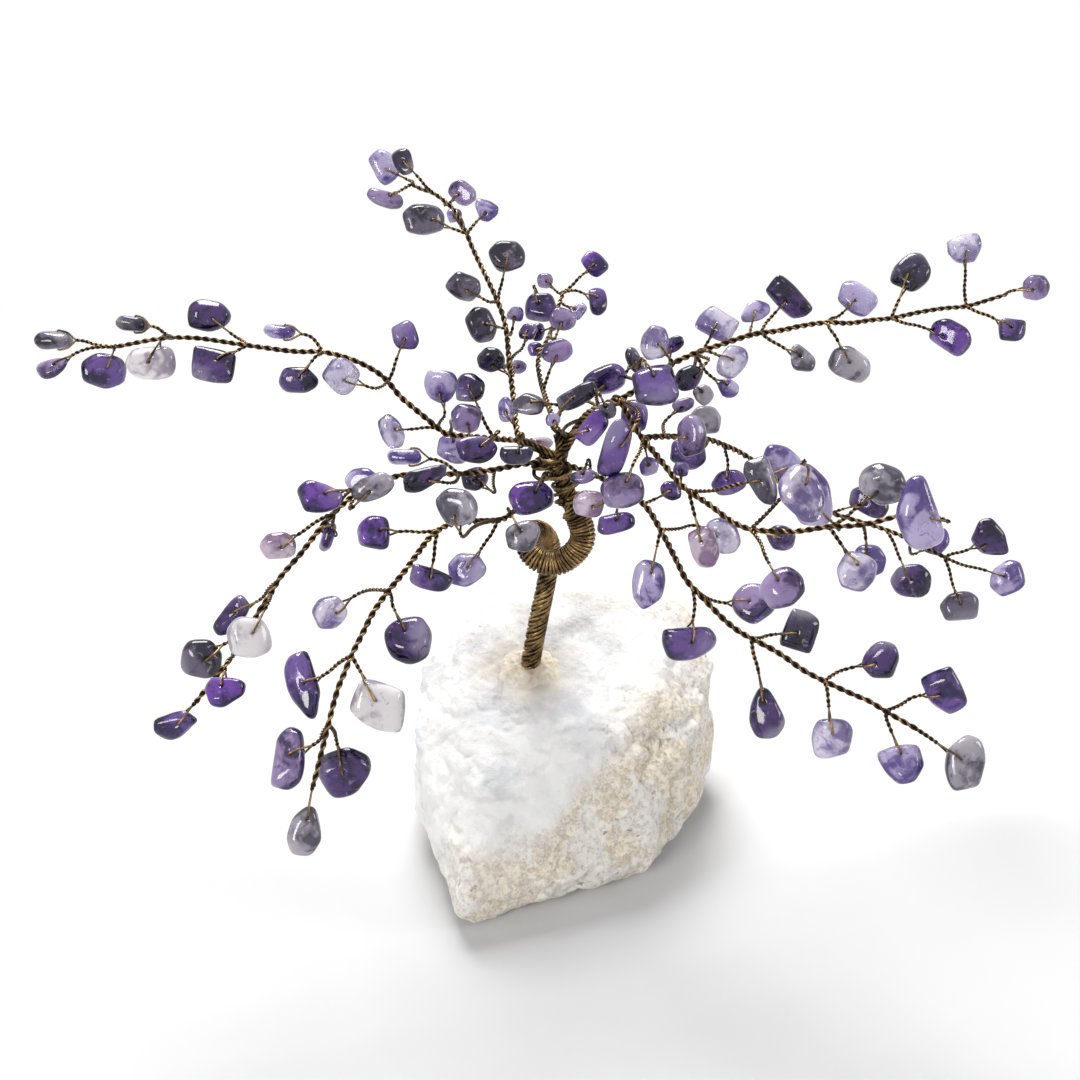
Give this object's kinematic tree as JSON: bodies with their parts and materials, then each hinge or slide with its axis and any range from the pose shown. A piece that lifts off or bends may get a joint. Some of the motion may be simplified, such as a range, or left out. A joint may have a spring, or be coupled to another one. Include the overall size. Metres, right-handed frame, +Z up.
{
  "type": "gemstone tree ornament",
  "caption": "Wire tree with drilled amethyst chips as leaves, a wrapped trunk with a curl and a rough quartz rock as its base.",
  "frame": {"origin": "centre of the quartz's flat ground underside, on the surface it stands on", "axes": "+Z up, +X to the right and +Y away from the viewer as the picture shows the tree"},
  "size_m": [0.2464, 0.1792, 0.1535],
  "materials": {
    "milky_quartz": "rough milky quartz with a tan crust",
    "glue": "glue with crushed stone",
    "antique_brass": "antique brass wire, dark in the grooves",
    "dark_amethyst": "tumbled and polished",
    "violet_amethyst": "tumbled and polished",
    "pale_amethyst": "tumbled and polished"
  },
  "bodies": {
    "tree": {"crown_branch_wires": "antique_brass", "crown_dark_chips": "dark_amethyst", "crown_pale_chips": "pale_amethyst", "crown_twigs": "antique_brass", "crown_violet_chips": "violet_amethyst", "crown_winding": "antique_brass", "curl_winding": "antique_brass", "glue_seat": "glue", "lower_winding": "antique_brass", "quartz_base": "milky_quartz", "trunk_core": "antique_brass"},
    "branch_a": {"branch_a_dark_chips": "dark_amethyst", "branch_a_pale_chips": "pale_amethyst", "branch_a_twigs": "antique_brass", "branch_a_violet_chips": "violet_amethyst", "branch_a_wire": "antique_brass"},
    "branch_b": {"branch_b_dark_chips": "dark_amethyst", "branch_b_twigs": "antique_brass", "branch_b_violet_chips": "violet_amethyst", "branch_b_wire": "antique_brass"},
    "branch_c": {"branch_c_dark_chips": "dark_amethyst", "branch_c_twigs": "antique_brass", "branch_c_violet_chips": "violet_amethyst", "branch_c_wire": "antique_brass"},
    "branch_d": {"branch_d_dark_chips": "dark_amethyst", "branch_d_pale_chips": "pale_amethyst", "branch_d_twigs": "antique_brass", "branch_d_violet_chips": "violet_amethyst", "branch_d_wire": "antique_brass"},
    "branch_e": {"branch_e_pale_chips": "pale_amethyst", "branch_e_twigs": "antique_brass", "branch_e_violet_chips": "violet_amethyst", "branch_e_wire": "antique_brass"},
    "branch_f": {"branch_f_dark_chips": "dark_amethyst", "branch_f_twigs": "antique_brass", "branch_f_violet_chips": "violet_amethyst", "branch_f_wire": "antique_brass"},
    "branch_g": {"branch_g_dark_chips": "dark_amethyst", "branch_g_pale_chips": "pale_amethyst", "branch_g_twigs": "antique_brass", "branch_g_violet_chips": "violet_amethyst", "branch_g_wire": "antique_brass"},
    "branch_h": {"branch_h_dark_chips": "dark_amethyst", "branch_h_pale_chips": "pale_amethyst", "branch_h_twigs": "antique_brass", "branch_h_violet_chips": "violet_amethyst", "branch_h_wire": "antique_brass"},
    "branch_i": {"branch_i_dark_chips": "dark_amethyst", "branch_i_pale_chips": "pale_amethyst", "branch_i_twigs": "antique_brass", "branch_i_violet_chips": "violet_amethyst", "branch_i_wire": "antique_brass"},
    "hanging_disc_chip": {"hanging_disc_chip": "pale_amethyst"},
    "hanging_drop_chip": {"hanging_drop_chip": "dark_amethyst"},
    "hanging_oval_chip": {"hanging_oval_chip": "pale_amethyst"},
    "hanging_pear_chip": {"hanging_pear_chip": "pale_amethyst"},
    "hanging_tall_chip": {"hanging_tall_chip": "pale_amethyst"},
    "hanging_wedge_chip": {"hanging_wedge_chip": "violet_amethyst"}
  },
  "joints": [
    {"name": "branch_a_bend", "type": "hinge", "parent": "tree", "child": "branch_a", "pos_m": [-0.03634, 0.02338, 0.10633], "axis": [-0.1984, -0.9801, 0], "range_deg": [-5, 5]},
    {"name": "branch_b_bend", "type": "hinge", "parent": "tree", "child": "branch_b", "pos_m": [-0.02169, 0.05832, 0.1294], "axis": [-0.8953, -0.4454, 0], "range_deg": [-5, 5]},
    {"name": "branch_c_bend", "type": "hinge", "parent": "tree", "child": "branch_c", "pos_m": [-0.00692, 0.04367, 0.10531], "axis": [-0.9941, -0.1084, 0], "range_deg": [-5, 5]},
    {"name": "branch_d_bend", "type": "hinge", "parent": "tree", "child": "branch_d", "pos_m": [0.03864, 0.02263, 0.12437], "axis": [-0.4267, 0.9044, 0], "range_deg": [-5, 5]},
    {"name": "branch_e_bend", "type": "hinge", "parent": "tree", "child": "branch_e", "pos_m": [0.02937, -0.02622, 0.10677], "axis": [0.784, 0.6207, 0], "range_deg": [-4, 4]},
    {"name": "branch_f_bend", "type": "hinge", "parent": "tree", "child": "branch_f", "pos_m": [0.02302, -0.02547, 0.09199], "axis": [0.9334, 0.3589, 0], "range_deg": [-4, 4]},
    {"name": "branch_g_bend", "type": "hinge", "parent": "tree", "child": "branch_g", "pos_m": [0.04157, 0.01812, 0.09687], "axis": [-0.4871, 0.8733, 0], "range_deg": [-4, 4]},
    {"name": "branch_h_bend", "type": "hinge", "parent": "tree", "child": "branch_h", "pos_m": [-0.03318, -0.03824, 0.1005], "axis": [0.8984, -0.4392, 0], "range_deg": [-5, 5]},
    {"name": "branch_i_bend", "type": "hinge", "parent": "tree", "child": "branch_i", "pos_m": [-0.05635, -0.02997, 0.09896], "axis": [0.7884, -0.6151, 0], "range_deg": [-5, 5]},
    {"name": "hanging_tall_chip_swing", "type": "hinge", "parent": "tree", "child": "hanging_tall_chip", "pos_m": [0.01748, -0.0198, 0.08676], "axis": [-0.0996, -0.8686, 0.4854], "range_deg": [-12, 12]},
    {"name": "hanging_drop_chip_swing", "type": "hinge", "parent": "branch_f", "child": "hanging_drop_chip", "pos_m": [0.04049, -0.04458, 0.06979], "axis": [-0.1967, -0.8738, 0.4447], "range_deg": [-12, 12]},
    {"name": "hanging_disc_chip_swing", "type": "hinge", "parent": "branch_f", "child": "hanging_disc_chip", "pos_m": [0.05371, -0.05303, 0.06818], "axis": [0, -0.994, 0.1094], "range_deg": [-12, 12]},
    {"name": "hanging_wedge_chip_swing", "type": "hinge", "parent": "branch_f", "child": "hanging_wedge_chip", "pos_m": [0.06706, -0.06023, 0.06694], "axis": [-0.1582, -0.6466, 0.7463], "range_deg": [-12, 12]},
    {"name": "hanging_oval_chip_swing", "type": "hinge", "parent": "branch_f", "child": "hanging_oval_chip", "pos_m": [0.07802, -0.0627, 0.06802], "axis": [0.1675, -0.8707, 0.4625], "range_deg": [-12, 12]},
    {"name": "hanging_pear_chip_swing", "type": "hinge", "parent": "branch_h", "child": "hanging_pear_chip", "pos_m": [-0.05216, -0.08228, 0.06792], "axis": [0.1333, -0.8713, 0.4723], "range_deg": [-12, 12]}
  ]
}
